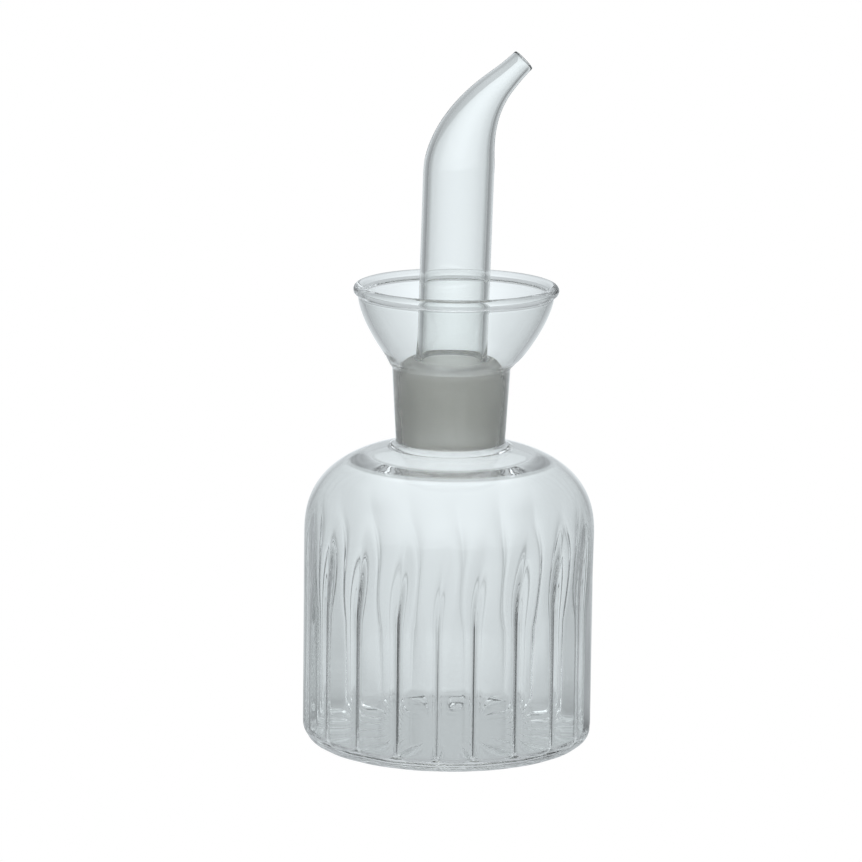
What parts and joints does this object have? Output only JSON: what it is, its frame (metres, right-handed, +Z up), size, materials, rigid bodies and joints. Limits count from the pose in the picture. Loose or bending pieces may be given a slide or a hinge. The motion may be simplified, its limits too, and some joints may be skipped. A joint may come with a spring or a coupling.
{
  "type": "glass oil cruet",
  "caption": "Clear glass oil cruet: ribbed round body, frosted ground neck with a flared drip funnel, and a tall pouring spout that curves to a narrow tip.",
  "frame": {"origin": "middle of the flat base, on the table", "axes": "+Z up the bottle's axis, +X the side that the spout bends towards, front looks along -Y"},
  "size_m": [0.0801, 0.08, 0.1921],
  "materials": {
    "bottle_glass": "fire-polished clear glass, frosted where the neck's bore is ground",
    "spout_glass": "clear drawn glass tube, frosted where the plug's taper is ground"
  },
  "bodies": {
    "root": {"bottle": "bottle_glass", "spout": "spout_glass"}
  },
  "joints": []
}
